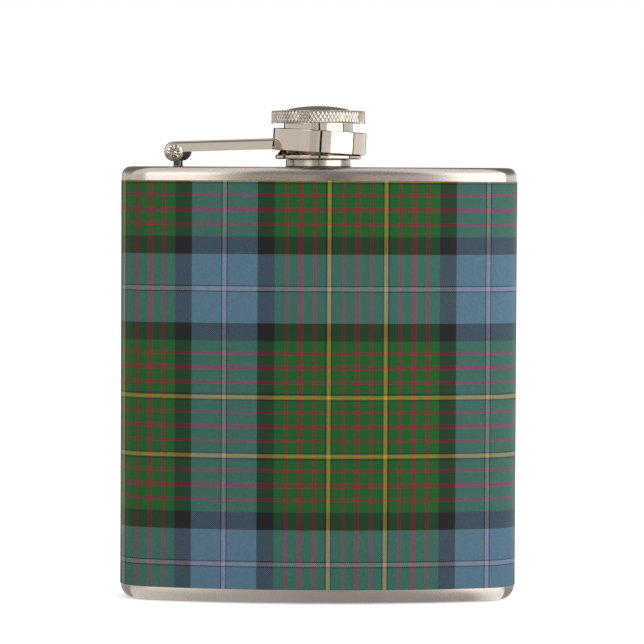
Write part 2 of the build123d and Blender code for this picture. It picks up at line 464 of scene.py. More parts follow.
def face_outwards(shape: BMesh) -> None:
    """Turns all faces of a mesh away from its middle."""
    bmesh.ops.recalc_face_normals(shape, faces=shape.faces)
    centre = sum((vert.co for vert in shape.verts), Vector()) / len(shape.verts)
    spread = sum(face.calc_area() * face.normal.dot(face.calc_center_median() - centre) for face in shape.faces)
    if spread < 0:
        bmesh.ops.reverse_faces(shape, faces=shape.faces)


def last_vert(made: dict) -> BMVert:
    """The vertex where a spin of one vertex ended."""
    return next(item for item in made["geom_last"] if isinstance(item, BMVert))


def swing(shape: BMesh, start: BMVert, hub: Vector, axis: Vector, angle: float, steps: int) -> BMVert:
    """Draws an arc of edges from a vertex.

    Args:
        shape: the mesh to draw in.
        start: the arc's first vertex.
        hub: the arc's centre.
        axis: the axis it turns about.
        angle: how far, in radians.
        steps: how many edges it has.

    Returns:
        The arc's last vertex.
    """
    return last_vert(bmesh.ops.spin(shape, geom=[start], cent=hub, axis=axis, angle=angle, steps=steps))


def reach(shape: BMesh, start: BMVert, place: Vector) -> BMVert:
    """Draws one edge from a vertex to a place, and returns its end."""
    end = shape.verts.new(place)
    shape.edges.new((start, end))
    return end


def round_corner(shape: BMesh, corner: BMVert, radius: float, segments: int) -> None:
    """Rounds the corner where two edges of an outline meet.

    Args:
        shape: the outline's mesh.
        corner: the vertex between the edges.
        radius: the arc's radius.
        segments: how many edges it has.
    """
    arms = [(edge.other_vert(corner).co - corner.co).normalized() for edge in corner.link_edges]
    run = radius / math.tan(arms[0].angle(arms[1]) / 2)
    bmesh.ops.bevel(
        shape, geom=[corner], offset=run, offset_type="OFFSET", affect="VERTICES",
        segments=segments, profile=0.5, material=-1,
    )


@dataclass
class Turning:
    """A shape turned on a lathe: an outline of radii and heights, with some corners rounded."""

    outline: list[tuple[float, float]]
    rounds: dict[int, float] = field(default_factory=dict)
    closed: bool = True
    steps: int = 144
    segments: int = 5

    def cut(self, hub: Vector) -> BMesh:
        """Turns the outline about the vertical through the hub.

        Args:
            hub: where radius 0 and height 0 are.

        Returns:
            The turned mesh.
        """
        shape = bmesh.new()
        corners = [shape.verts.new(hub + Vector((radius, 0, height))) for radius, height in self.outline]
        ends = corners[1:] + corners[:1] if self.closed else corners[1:]
        for start, end in zip(corners, ends):
            shape.edges.new((start, end))
        for place, radius in self.rounds.items():
            round_corner(shape, corners[place], radius, self.segments)
        hold_corners(shape)
        return spun(shape, hub, self.steps)


def hold_corners(shape: BMesh) -> None:
    """Adds vertices close to the ends of an outline's long edges, so that its flats stay flat."""
    for edge in shape.edges[:]:
        if edge.calc_length() > 0.4 * MM:
            for end in edge.verts[:]:
                longest = max(end.link_edges, key=lambda item: item.calc_length())
                bmesh.utils.edge_split(longest, end, 0.03 * MM / longest.calc_length())


def spun(shape: BMesh, hub: Vector, steps: int) -> BMesh:
    """Spins all of an outline a full turn about the vertical through the hub.

    Args:
        shape: the outline's mesh.
        hub: a point on the axis.
        steps: how many faces go round.

    Returns:
        The same mesh, with its seam and poles closed.
    """
    bmesh.ops.spin(
        shape, geom=shape.verts[:] + shape.edges[:], cent=hub, axis=Z_AXIS,
        angle=math.tau, steps=steps, use_merge=True,
    )
    bmesh.ops.remove_doubles(shape, verts=shape.verts, dist=0.0005 * MM)
    return shape


def raised(shape: BMesh, edges: list[BMEdge], move: Vector) -> list[BMEdge]:
    """Extrudes edges along a move.

    Args:
        shape: the mesh.
        edges: the edges to extrude.
        move: how far and which way.

    Returns:
        The edges at the far side.
    """
    made = bmesh.ops.extrude_edge_only(shape, edges=edges)["geom"]
    bmesh.ops.translate(shape, verts=[item for item in made if isinstance(item, BMVert)], vec=move)
    return [item for item in made if isinstance(item, BMEdge)]


def rounded(shape: BMesh, edges: list[BMEdge], radius: float, segments: int) -> None:
    """Rounds edges of a mesh.

    Args:
        shape: the mesh.
        edges: the edges to round.
        radius: the bevel's offset.
        segments: how many faces it has.
    """
    bmesh.ops.bevel(
        shape, geom=edges, offset=radius, offset_type="OFFSET", affect="EDGES",
        segments=segments, profile=0.5, material=-1,
    )


def rim_edges(shape: BMesh) -> list[BMEdge]:
    """The edges that only one face uses."""
    return [edge for edge in shape.edges if len(edge.link_faces) == 1]


def middle(node: str) -> Vector:
    """The middle of a CAD node's box."""
    low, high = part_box(node)
    return (low + high) / 2


def thicken(piece: bpy.types.Object, sheet: float, edge: float) -> None:
    """Gives a shell its sheet thickness inwards, and eases its edges.

    Args:
        piece: the shell.
        sheet: the thickness.
        edge: how far the edges are eased.
    """
    solid = piece.modifiers.new("sheet", "SOLIDIFY")
    solid.thickness = sheet
    solid.offset = -1.0
    ease = piece.modifiers.new("eased_edges", "BEVEL")
    ease.width = edge
    ease.segments = 2
    ease.limit_method = "ANGLE"
    ease.angle_limit = math.radians(50)
    ease.use_clamp_overlap = True
    ease.harden_normals = True


# ---------------------------------------------------------------- the flask's body


@dataclass
class FlaskBody:
    """The steel body: two stamped pans, and the printed wrap round the tube between them."""

    thickness: float = 20.6 * MM
    front_radius: float = 145.0 * MM
    back_radius: float = 160.0 * MM
    corner_radius: float = 9.0 * MM
    sheet: float = 0.5 * MM
    skirt: float = 5.0 * MM
    bottom_edge: float = 3.2 * MM
    top_edge: float = 2.0 * MM
    recess_inset: float = 1.3 * MM
    recess_depth: float = 0.8 * MM
    film: float = 0.2 * MM
    seam_gap: float = 0.3 * MM
    stretch_start: float = 42.9 * MM
    stretch_run: float = 5.0 * MM
    stretch: float = 0.65

    def __post_init__(self) -> None:
        """Reads the body's width, front and height from the frame."""
        low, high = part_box("body_shell")
        self.half_width = (high.x - low.x) / 2
        self.front = low.y
        self.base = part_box("bottom_plate")[0].z
        self.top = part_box("top_plate")[1].z

    def outline(self, shape: BMesh, height: float, grow: float = 0.0, gap: float = 0.0) -> None:
        """Draws the kidney outline, each vertex marked with its distance round from the front.

        Args:
            shape: an empty mesh to draw in.
            height: the outline's height.
            grow: how far outside the steel it runs.
            gap: how far apart its ends stay at the back.
        """
        girth = shape.verts.layers.float.new("girth")
        outward = shape.verts.layers.float_vector.new("outward")
        corner_x = self.half_width - self.corner_radius
        front_reach = self.front_radius - self.corner_radius
        back_reach = self.back_radius + self.corner_radius
        front_turn = math.asin(corner_x / front_reach)
        back_turn = math.asin(corner_x / back_reach)
        gap_turn = math.asin(gap / 2 / (self.back_radius - grow))
        front_hub = Vector((0, self.front + self.front_radius, height))
        back_hub = Vector((0, self.front + self.thickness + self.back_radius, height))
        front_corner = front_hub + front_reach * Vector((math.sin(front_turn), -math.cos(front_turn), 0))
        back_corner = back_hub + back_reach * Vector((math.sin(back_turn), -math.cos(back_turn), 0))
        tip = shape.verts.new((0, self.front - grow, height))
        tip = swing(shape, tip, front_hub, Z_AXIS, front_turn, 48)
        tip = swing(shape, tip, front_corner, Z_AXIS, math.pi / 2 - front_turn, 12)
        tip = reach(shape, tip, Vector((tip.co.x, back_corner.y, height)))
        tip = swing(shape, tip, back_corner, Z_AXIS, math.pi / 2 + back_turn, 16)
        swing(shape, tip, back_hub, Z_AXIS, gap_turn - back_turn, 48)
        travelled, previous = 0.0, None
        for vert in shape.verts:
            travelled += (vert.co - previous.co).length if previous else 0.0
            vert[girth] = travelled
            previous = vert
        bmesh.ops.mirror(
            shape, geom=shape.verts[:] + shape.edges[:], matrix=Matrix.Identity(4),
            merge_dist=0.001 * MM, axis="X",
        )
        middle_place = Vector((0, self.front + self.thickness / 2, height))
        for vert in shape.verts:
            if vert.co.x < -0.001 * MM:
                vert[girth] = -vert[girth]
            arms = [(edge.other_vert(vert).co - vert.co).normalized() for edge in vert.link_edges]
            if len(arms) == 2:
                way = (arms[1] - arms[0]).cross(Z_AXIS).normalized()
                vert[outward] = way if way.dot(vert.co - middle_place) > 0 else -way

    def pan(self, piece: Piece, start: float, face: float, edge: float, pressed: float) -> None:
        """Makes a stamped pan: a skirt, a rounded edge, an end face and a panel pressed into it.

        Args:
            piece: the pan's piece.
            start: the height of the skirt's open end.
            face: the height of the end face.
            edge: the rounded edge's radius.
            pressed: how deep the panel inside the face is pressed, or 0 for a flat face.
        """
        way = math.copysign(1, face - start)
        outline = [(0.0, face - way * edge)]
        outline += self.bend(outline[-1], edge, way, 12)
        if pressed:
            fillet = pressed / 2
            outline.append((outline[-1][0] - self.recess_inset, face))
            outline += self.bend(outline[-1], fillet, -way, 4, from_face=True)
            outline += self.bend(outline[-1], fillet, -way, 4)
        shape = bmesh.new()
        self.outline(shape, start)
        outward = shape.verts.layers.float_vector["outward"]
        rim = shape.edges[:]
        grown, height = 0.0, start
        for grow, level in outline:
            rim = raised(shape, rim, Z_AXIS * (level - height))
            for vert in {vert for item in rim for vert in item.verts}:
                vert.co += vert[outward] * (grow - grown)
            grown, height = grow, level
        flat = bmesh.ops.edgeloop_fill(shape, edges=rim)["faces"]
        bmesh.ops.inset_individual(shape, faces=flat, thickness=0.04 * MM, depth=0.0, use_even_offset=True)
        made = piece.make(shape)
        thicken(made, self.sheet, 0.04 * MM)

    @staticmethod
    def bend(
        start: tuple[float, float], radius: float, way: float, segments: int, from_face: bool = False,
    ) -> list[tuple[float, float]]:
        """Works out a quarter bend in a pan's outline.

        Args:
            start: how far outside the body the bend starts, and its height.
            radius: the bend's radius.
            way: 1 if the bend rises, -1 if it falls.
            segments: how many steps it has.
            from_face: whether it leaves a flat face, rather than an upright wall.

        Returns:
            The bend's places after its start.
        """
        places = []
        for step in range(1, segments + 1):
            turn = math.pi / 2 * step / segments
            inward, upward = 1 - math.cos(turn), math.sin(turn)
            if from_face:
                inward, upward = upward, inward
            places.append((start[0] - radius * inward, start[1] + way * radius * upward))
        return places

    def wrap(self, piece: Piece) -> None:
        """Makes the printed film, with the print's coordinates in a UV map.

        Args:
            piece: the wrap's piece.
        """
        low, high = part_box("vinyl_wrap")
        shape = bmesh.new()
        self.outline(shape, low.z, self.film, self.seam_gap)
        rows = 12
        front = shape.edges[:]
        for _ in range(rows):
            front = raised(shape, front, Z_AXIS * (high.z - low.z) / rows)
        girth = shape.verts.layers.float["girth"]
        cloth = shape.loops.layers.uv.new("cloth")
        for face in shape.faces:
            for loop in face.loops:
                loop[cloth].uv = (self.print_place(loop.vert[girth]), loop.vert.co.z)
        made = piece.make(shape)
        thicken(made, self.film, 0.04 * MM)

    def print_place(self, girth: float) -> float:
        """Finds the place on the flat print that lies at a distance round the body.

        Args:
            girth: the distance round from the middle of the front.

        Returns:
            The place on the print, which is stretched where it bends round the front's ends.
        """
        past = abs(girth) - self.stretch_start
        slack = (1 - self.stretch) * min(max(past, 0.0), self.stretch_run)
        return math.copysign(abs(girth) - slack, girth)

    def build(self) -> None:
        """Makes the body's pieces, and dresses the CAD pieces that stay."""
        self.pan(
            Piece("bottom_rim", Body.FLASK, Slot.BODY_STEEL, SATIN, ("bottom_plate",)),
            self.base + self.skirt, self.base, self.bottom_edge, self.recess_depth,
        )
        self.pan(
            Piece("top_rim", Body.FLASK, Slot.BODY_STEEL, SATIN, ("top_plate",)),
            self.top - self.skirt, self.top, self.top_edge, 0.0,
        )
        self.wrap(Piece("tartan_wrap", Body.FLASK, Slot.PRINTED_VINYL, TartanVinyl(), ("vinyl_wrap",)))
        for node, finish in (
            ("body_shell", INNER), ("side_seam_weld", WELD),
            ("bottom_seam_weld", WELD), ("top_seam_weld", WELD),
        ):
            kept = frame["nodes"][node]
            kept.data.materials.clear()
            kept.data.materials.append(finish_of(finish))
            LOG.info("%s: kept from the frame", node)


# ---------------------------------------------------------------- spout and thread


@dataclass
class Spout:
    """The neck that the cap screws on, with its weld."""

    base_radius: float = 7.55 * MM
    base_height: float = 1.75 * MM
    root_radius: float = 6.45 * MM
    height: float = 5.3 * MM
    spigot_radius: float = 6.9 * MM
    spigot_depth: float = 1.0 * MM
    mouth_radius: float = 5.5 * MM
    thread_pitch: float = 1.8 * MM
    thread_turns: float = 1.25
    thread_depth: float = 0.45 * MM
    thread_base: float = 0.7 * MM
    thread_crest: float = 0.4 * MM
    thread_start: float = 0.5 * MM
    weld: float = 0.3 * MM

    def __post_init__(self) -> None:
        """Finds the foot of the neck on the top plate."""
        centre = middle("neck")
        self.foot = Vector((centre.x, centre.y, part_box("top_plate")[1].z))

    def ridge(self, piece: Piece, radius: float, outward: int, start: float) -> None:
        """Makes a screw thread's ridge, with both ends run out into the wall.

        Args:
            piece: the ridge's piece.
            radius: the wall's radius.
            outward: 1 for a ridge that stands out, -1 for one inside a bore.
            start: the angle that it starts at, in degrees.
        """
        shape = bmesh.new()
        level = self.foot + Z_AXIS * (self.base_height + self.thread_start)
        sunk, tip = radius - outward * 0.1 * MM, radius + outward * self.thread_depth
        profile = [
            (sunk, -self.thread_base), (tip, -self.thread_crest),
            (tip, self.thread_crest), (sunk, self.thread_base),
        ]
        verts = [shape.verts.new(level + Vector((reach_out, 0, side / 2))) for reach_out, side in profile]
        edges = [shape.edges.new(pair) for pair in zip(verts, verts[1:] + verts[:1])]
        steps = 120
        first = verts[1:3]
        made = bmesh.ops.spin(
            shape, geom=verts + edges, cent=level, axis=Z_AXIS,
            dvec=Z_AXIS * self.thread_pitch * self.thread_turns / steps,
            angle=math.tau * self.thread_turns, steps=steps,
        )
        ends = [item for item in made["geom_last"] if isinstance(item, BMVert)]
        crest = sorted(ends, key=lambda vert: -outward * (vert.co - level).to_2d().length)[:2]
        for vert in (*first, *crest):
            flat = (vert.co - level) * Vector((1, 1, 0))
            vert.co -= flat.normalized() * outward * (self.thread_depth + 0.05 * MM)
        bmesh.ops.holes_fill(shape, edges=rim_edges(shape), sides=4)
        turn = Matrix.Rotation(math.radians(start), 3, "Z")
        bmesh.ops.rotate(shape, verts=shape.verts, cent=level, matrix=turn)
        piece.make(shape)

    def build(self) -> None:
        """Makes the neck, its thread and its weld."""
        bottom, top = -self.spigot_depth, self.height
        shape = Turning(
            [
                (self.mouth_radius, bottom), (self.spigot_radius, bottom), (self.spigot_radius, 0),
                (self.base_radius, 0), (self.base_radius, self.base_height),
                (self.root_radius, self.base_height), (self.root_radius, top), (self.mouth_radius, top),
            ],
            {4: 0.15 * MM, 5: 0.2 * MM, 6: 0.3 * MM, 7: 0.3 * MM},
        ).cut(self.foot)
        Piece("spout", Body.FLASK, Slot.TURNED_STEEL, TURNED, ("neck",)).make(shape)
        self.ridge(Piece("spout_thread", Body.FLASK, Slot.TURNED_STEEL, TURNED), self.root_radius, 1, 0)
        bead = Turning(
            [
                (self.base_radius - 0.1 * MM, 0), (self.base_radius + self.weld, 0),
                (self.base_radius + 0.08 * MM, 0.08 * MM), (self.base_radius, self.weld),
                (self.base_radius - 0.1 * MM, self.weld),
            ],
            {2: 0.15 * MM},
        ).cut(self.foot)
        Piece("spout_weld", Body.FLASK, Slot.WELD_STEEL, WELD, ("neck_weld",)).make(bead)


# ---------------------------------------------------------------- ring


@dataclass
class Ring:
    """The tilted ring at the end of the arm that keeps the cap captive."""

    radius: float = 10.9 * MM
    height: float = 5.2 * MM
    wall: float = 0.45 * MM
    web: float = 0.6 * MM
    hole: float = 8.9 * MM
    tilt: float = 3.3

    def __post_init__(self) -> None:
        """Finds the ring's middle in the frame."""
        self.centre = middle("arm_collar")

    def build(self) -> None:
        """Makes the ring."""
        half = self.height / 2
        inner = self.radius - self.wall
        shape = Turning(
            [
                (inner, -half), (self.radius, -half), (self.radius, half), (self.hole, half),
                (self.hole, half - self.web), (inner, half - self.web),
            ],
            {0: 0.08 * MM, 1: 0.14 * MM, 2: 0.22 * MM, 3: 0.1 * MM, 4: 0.1 * MM}, steps=192,
        ).cut(Vector((0, 0, 0)))
        turn = Matrix.Rotation(math.radians(self.tilt), 3, "Y")
        bmesh.ops.rotate(shape, verts=shape.verts, cent=(0, 0, 0), matrix=turn)
        bmesh.ops.translate(shape, verts=shape.verts, vec=self.centre)
        Piece("retaining_ring", Body.ARM, Slot.POLISHED_STEEL, POLISHED, ("arm_collar",)).make(shape)


# ---------------------------------------------------------------- hinge and arm


@dataclass
class Hinge:
    """The pillar on the top plate, the rivet, and the channel arm that swings on it."""

    pillar_radius: float = 1.08 * MM
    lug_radius: float = 2.25 * MM
    lug_width: float = 3.2 * MM
    lug_side: float = -32.1 * MM
    lug_rise: float = 3.6 * MM
    nose_radius: float = 1.5 * MM
    sheet: float = 0.6 * MM
    arm_height: float = 2.5 * MM
    arm_slope: float = 2.0
    shoulder: float = 0.55 * MM
    notch: float = 4.6 * MM
    ear_radius: float = 2.35 * MM
    head_radius: float = 1.9 * MM
    head_height: float = 0.6 * MM
    petals: int = 8
    tack_radius: float = 0.42 * MM

    def __post_init__(self) -> None:
        """Finds the pivot and the pillar in the frame."""
        joint = next(item for item in frame["joints"] if item["name"] == "arm_swing")
        self.pivot = Vector(joint["pos_m"])
        self.foot = middle("post_weld") * Vector((1, 1, 0)) + Z_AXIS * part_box("top_plate")[1].z
        low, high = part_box("cap_arm")
        self.half_width = (high.y - low.y) / 2
        self.arm_end = high.x

    def drum(self, shape: BMesh, centre: Vector, axis: str, radius: float, length: float, ease: float) -> None:
        """Adds a round bar with eased ends.

        Args:
            shape: the mesh to add it to.
            centre: its middle.
            axis: the axis that it lies along, Y or Z.
            radius: its radius.
            length: its length.
            ease: how far its end edges are rounded.
        """
        turn = Matrix.Rotation(math.radians(90), 4, "X") if axis == "Y" else Matrix.Identity(4)
        made = bmesh.ops.create_cone(
            shape, cap_ends=True, segments=64, radius1=radius, radius2=radius, depth=length,
            matrix=Matrix.Translation(centre) @ turn,
        )
        edges = {edge for vert in made["verts"] for edge in vert.link_edges}
        ends = [edge for edge in edges if any(len(face.verts) > 4 for face in edge.link_faces)]
        rounded(shape, ends, ease, 4)

    def pillar(self) -> None:
        """Makes the pillar with its lug, and its weld."""
        shape = bmesh.new()
        centre = self.foot + Z_AXIS * self.lug_rise / 2
        self.drum(shape, centre, "Z", self.pillar_radius, self.lug_rise, 0.02 * MM)
        self.lug(shape)
        # The pillar and lug take the steel with painted shade from standing under the arm.
        Piece("hinge_pillar", Body.FLASK, Slot.TURNED_STEEL, SHADED_PILLAR_STEEL, ("hinge_post",)).make(shape)
        bead = Turning(
            [
                (self.pillar_radius - 0.1 * MM, 0), (self.pillar_radius + 0.35 * MM, 0),
                (self.pillar_radius + 0.1 * MM, 0.1 * MM), (self.pillar_radius, 0.35 * MM),
                (self.pillar_radius - 0.1 * MM, 0.35 * MM),
            ],
            {2: 0.2 * MM}, steps=64,
        ).cut(self.foot)
        Piece("pillar_weld", Body.FLASK, Slot.WELD_STEEL, WELD, ("post_weld",)).make(bead)

    def lug(self, shape: BMesh) -> None:
        """Adds the lug: a plate rounded round the rivet, and wider round the pillar's far side.

        Args:
            shape: the pillar's mesh.
        """
        nose = self.pivot - Y_AXIS * self.lug_width / 2
        heel = Vector((self.lug_side, nose.y, self.foot.z + self.lug_rise))
        spread = heel - nose
        along = math.atan2(spread.z, spread.x)
        turn = math.pi / 2 + math.asin((self.lug_radius - self.nose_radius) / spread.length)
        upper, lower = (Vector((math.cos(angle), 0, math.sin(angle))) for angle in (along + turn, along - turn))
        start = shape.verts.new(heel + upper * self.lug_radius)
        tip = swing(shape, start, heel, Y_AXIS, 2 * turn, 48)
        tip = reach(shape, tip, nose + lower * self.nose_radius)
        tip = swing(shape, tip, nose, Y_AXIS, math.tau - 2 * turn, 24)
        near = [edge for edge in shape.edges if not edge.link_faces] + [shape.edges.new((tip, start))]
        far = raised(shape, near, Y_AXIS * self.lug_width)
        for loop in (near, far):
            bmesh.ops.edgeloop_fill(shape, edges=loop)
        rounded(shape, near + far, 0.25 * MM, 4)

    def arm(self) -> None:
        """Makes the channel arm: two cheeks with round ears, joined by a web with rounded shoulders."""
        shape = bmesh.new()
        top, bottom = self.ear_radius, self.ear_radius - self.arm_height
        length = (self.arm_end - self.pivot.x - 0.3 * MM) / math.cos(math.radians(self.arm_slope))
        cheek = -self.half_width
        far = shape.verts.new((length, cheek, top))
        notch = reach(shape, far, Vector((self.notch, cheek, top)))
        crown = reach(shape, notch, Vector((0, cheek, top)))
        round_end = math.pi * 1.5 + math.asin(bottom / self.ear_radius)
        tip = swing(shape, crown, Vector((0, cheek, 0)), Y_AXIS, -round_end, 40)
        heel = reach(shape, tip, Vector((length, cheek, bottom)))
        shape.edges.new((heel, far))
        bmesh.ops.edgeloop_fill(shape, edges=shape.edges[:])
        strip = raised(shape, [edge for edge in shape.edges if heel not in edge.verts], Y_AXIS * self.sheet)
        web = [edge for edge in strip if min(vert.co.x for vert in edge.verts) > self.notch - 0.01 * MM]
        raised(shape, web, Y_AXIS * (self.half_width - self.sheet))
        bmesh.ops.mirror(
            shape, geom=shape.verts[:] + shape.edges[:] + shape.faces[:], matrix=Matrix.Identity(4),
            merge_dist=0.001 * MM, axis="Y",
        )
        bmesh.ops.recalc_face_normals(shape, faces=shape.faces)
        shoulders = [edge for edge in shape.edges if len(edge.link_faces) == 2 and edge.calc_face_angle() > 1.5]
        rounded(shape, shoulders, self.shoulder, 6)
        flats = [face for face in shape.faces if face.calc_area() > 20 * MM * MM]
        bmesh.ops.inset_individual(shape, faces=flats, thickness=0.04 * MM, depth=0.0, use_even_offset=True)
        slope = Matrix.Rotation(-math.radians(self.arm_slope), 3, "Y")
        bmesh.ops.rotate(shape, verts=shape.verts, cent=(0, 0, 0), matrix=slope)
        bmesh.ops.translate(shape, verts=shape.verts, vec=self.pivot)
        made = Piece("channel_arm", Body.ARM, Slot.POLISHED_STEEL, POLISHED, ("cap_arm",)).make(shape)
        thicken(made, self.sheet, 0.07 * MM)

    def rivet(self) -> None:
        """Makes the rivet: a pin and two heads upset into petals."""
        shape = bmesh.new()
        self.drum(shape, self.pivot, "Y", self.head_radius * 0.42, self.half_width * 2, 0.02 * MM)
        for side in (-1, 1):
            face = self.pivot + Y_AXIS * side * self.half_width
            self.head(shape, face, side)
        Piece("hinge_rivet_star", Body.ARM, Slot.TURNED_STEEL, KNURLED, ("hinge_rivet",), 50.0).make(shape)

    def head(self, shape: BMesh, face: Vector, side: int) -> None:
        """Adds one rivet head, with a dimple in the middle and grooves between its petals.

        Args:
            shape: the mesh to add it to.
            face: the middle of the cheek's outer face.
            side: 1 for the back cheek, -1 for the front one.
        """
        made = bmesh.ops.create_uvsphere(
            shape, u_segments=self.petals * 10, v_segments=24, radius=self.head_radius,
            matrix=Matrix.Rotation(math.radians(90), 4, "X"),
        )["verts"]
        for vert in made:
            spread = math.hypot(vert.co.x, vert.co.z) / self.head_radius
            angle = math.atan2(vert.co.z, vert.co.x)
            dome = math.sqrt(max(0.0, 1 - spread * spread))
            groove = max(0.0, math.cos(self.petals * angle)) ** 3 * math.sin(math.pi * min(1.0, spread)) ** 2
            dimple = math.exp(-((spread / 0.28) ** 2))
            height = self.head_height * (dome - 0.34 * groove - 0.45 * dimple)
            vert.co.y = math.copysign(max(height, 0.02 * MM) if vert.co.y * side > 0 else 0.1 * MM, vert.co.y)
        bmesh.ops.translate(shape, verts=made, vec=face)

    def tacks(self, ring: Ring) -> None:
        """Makes the four weld tacks where the arm meets the ring.

        Args:
            ring: the ring at the arm's end.
        """
        shape = bmesh.new()
        side = ring.centre.x - math.sqrt(ring.radius**2 - self.half_width**2)
        climb = (side - self.pivot.x) * math.tan(math.radians(self.arm_slope))
        for across in (-self.half_width, self.half_width):
            for height in (self.ear_radius - 0.3 * MM, self.ear_radius - self.arm_height + 0.3 * MM):
                place = Vector((side, self.pivot.y + across * 0.97, self.pivot.z + height + climb))
                bmesh.ops.create_uvsphere(
                    shape, u_segments=16, v_segments=10, radius=self.tack_radius,
                    matrix=Matrix.Translation(place),
                )
        Piece("arm_weld_tacks", Body.ARM, Slot.WELD_STEEL, WELD).make(shape)

    def build(self, ring: Ring) -> None:
        """Makes the hinge's pieces.

        Args:
            ring: the ring at the arm's end.
        """
        self.pillar()
        self.arm()
        self.rivet()
        self.tacks(ring)


# ---------------------------------------------------------------- cap


@dataclass
class Cap:
    """The screw cap: a knurled head over a sleeve with a flared flange, and its seal."""

    sleeve_radius: float = 8.05 * MM
    bore_radius: float = 7.2 * MM
    flange_radius: float = 10.0 * MM
    flange_thickness: float = 0.85 * MM
    head_radius: float = 11.0 * MM
    side_height: float = 3.0 * MM
    edge_chamfer: float = 0.12 * MM
    shoulder_radius: float = 7.8 * MM
    shoulder_rise: float = 0.3 * MM
    dome_rise: float = 0.95 * MM
    knurl_depth: float = 0.16 * MM
    knurl_groove: float = 0.085 * MM
    diamonds_round: int = 76
    diamonds_high: int = 2

    def __post_init__(self) -> None:
        """Finds the cap's axis and heights in the frame."""
        centre = middle("cap_head")
        self.axis = Vector((centre.x, centre.y, 0))
        self.sleeve_bottom, self.sleeve_top = (corner.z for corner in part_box("cap_sleeve"))
        self.spigot_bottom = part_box("cap_head")[0].z
        self.side_top = self.sleeve_top + self.side_height

    def sleeve(self) -> None:
        """Makes the sleeve with its flange."""
        flange_top = self.sleeve_bottom + self.flange_thickness
        shape = Turning(
            [
                (self.bore_radius, self.sleeve_bottom), (self.flange_radius, self.sleeve_bottom),
                (self.flange_radius, flange_top),
                (self.sleeve_radius, flange_top + self.flange_radius - self.sleeve_radius),
                (self.sleeve_radius, self.sleeve_top), (self.bore_radius, self.sleeve_top),
            ],
            {0: 0.15 * MM, 1: 0.3 * MM, 2: 0.3 * MM, 3: 0.5 * MM}, steps=192,
        ).cut(self.axis)
        Piece("cap_sleeve_flared", Body.CAP, Slot.POLISHED_STEEL, POLISHED, ("cap_sleeve",)).make(shape)

    def head(self) -> None:
        """Makes the head's smooth parts: underside, edges, shoulder, dome and the spigot below."""
        core = self.head_radius - self.knurl_depth
        spigot = self.bore_radius - 0.05 * MM
        shoulder = self.side_top + self.shoulder_rise
        shape = bmesh.new()
        dome_radius = (self.shoulder_radius**2 + self.dome_rise**2) / (2 * self.dome_rise)
        dome_top = shoulder + self.dome_rise
        crown = shape.verts.new(self.axis + Z_AXIS * dome_top)
        hub = self.axis + Z_AXIS * (dome_top - dome_radius)
        tip = swing(shape, crown, hub, Y_AXIS, math.asin(self.shoulder_radius / dome_radius), 16)
        for radius, height in (
            (self.head_radius - self.edge_chamfer, self.side_top), (core, self.side_top - 0.05 * MM),
            (core, self.sleeve_top + 0.05 * MM), (self.head_radius - self.edge_chamfer, self.sleeve_top),
            (spigot, self.sleeve_top), (spigot, self.spigot_bottom), (0.0, self.spigot_bottom),
        ):
            tip = reach(shape, tip, self.axis + Vector((radius, 0, height)))
        Piece("cap_crown", Body.CAP, Slot.POLISHED_STEEL, POLISHED, ("cap_head",), 30.0).make(
            spun(shape, self.axis, 192)
        )

    def knurl(self) -> None:
        """Makes the knurled band: a lattice of diamonds, each raised from the grooves round it."""
        shape = bmesh.new()
        low = self.sleeve_top + self.edge_chamfer / 2
        rise = (self.side_height - self.edge_chamfer) / self.diamonds_high
        groove = self.head_radius - self.knurl_depth
        tip = shape.verts.new(self.axis + Vector((groove, 0, low)))
        for _ in range(self.diamonds_high):
            tip = reach(shape, tip, tip.co + Z_AXIS * rise)
        spun(shape, self.axis, self.diamonds_round)
        grid = [edge for edge in shape.edges if len(edge.link_faces) == 2]
        bmesh.ops.poke(shape, faces=shape.faces[:], offset=0.0)
        bmesh.ops.dissolve_edges(shape, edges=grid, use_verts=False)
        bmesh.ops.recalc_face_normals(shape, faces=shape.faces)
        outward = shape.faces[:][0]
        if outward.normal.dot(outward.calc_center_median() - self.axis * Vector((1, 1, 0))) < 0:
            bmesh.ops.reverse_faces(shape, faces=shape.faces)
        diamonds = shape.faces[:]
        bmesh.ops.inset_individual(
            shape, faces=diamonds, thickness=self.knurl_groove, depth=self.knurl_depth / 2,
            use_even_offset=True,
        )
        bmesh.ops.poke(shape, faces=diamonds, offset=self.knurl_depth / 2)
        Piece("knurled_band", Body.CAP, Slot.POLISHED_STEEL, KNURLED, (), 20.0).make(shape, outward=False)

    def seal(self) -> None:
        """Makes the seal disc."""
        low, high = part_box("cap_gasket")
        radius = (high.x - low.x) / 2
        shape = Turning(
            [(0, low.z), (radius, low.z), (radius, high.z), (0, high.z)],
            {1: 0.25 * MM, 2: 0.25 * MM}, closed=False, steps=96,
        ).cut(self.axis)
        Piece("seal_disc", Body.SEAL, Slot.SEAL_RUBBER, SealRubber(), ("cap_gasket",)).make(shape)

    def build(self, spout: Spout) -> None:
        """Makes the cap's pieces.

        Args:
            spout: the neck, whose thread the cap's own matches.
        """
        self.sleeve()
        self.head()
        self.knurl()
        self.seal()
        spout.ridge(
            Piece("cap_thread", Body.CAP, Slot.POLISHED_STEEL, POLISHED), self.bore_radius, -1, 180
        )


# ---------------------------------------------------------------- studio


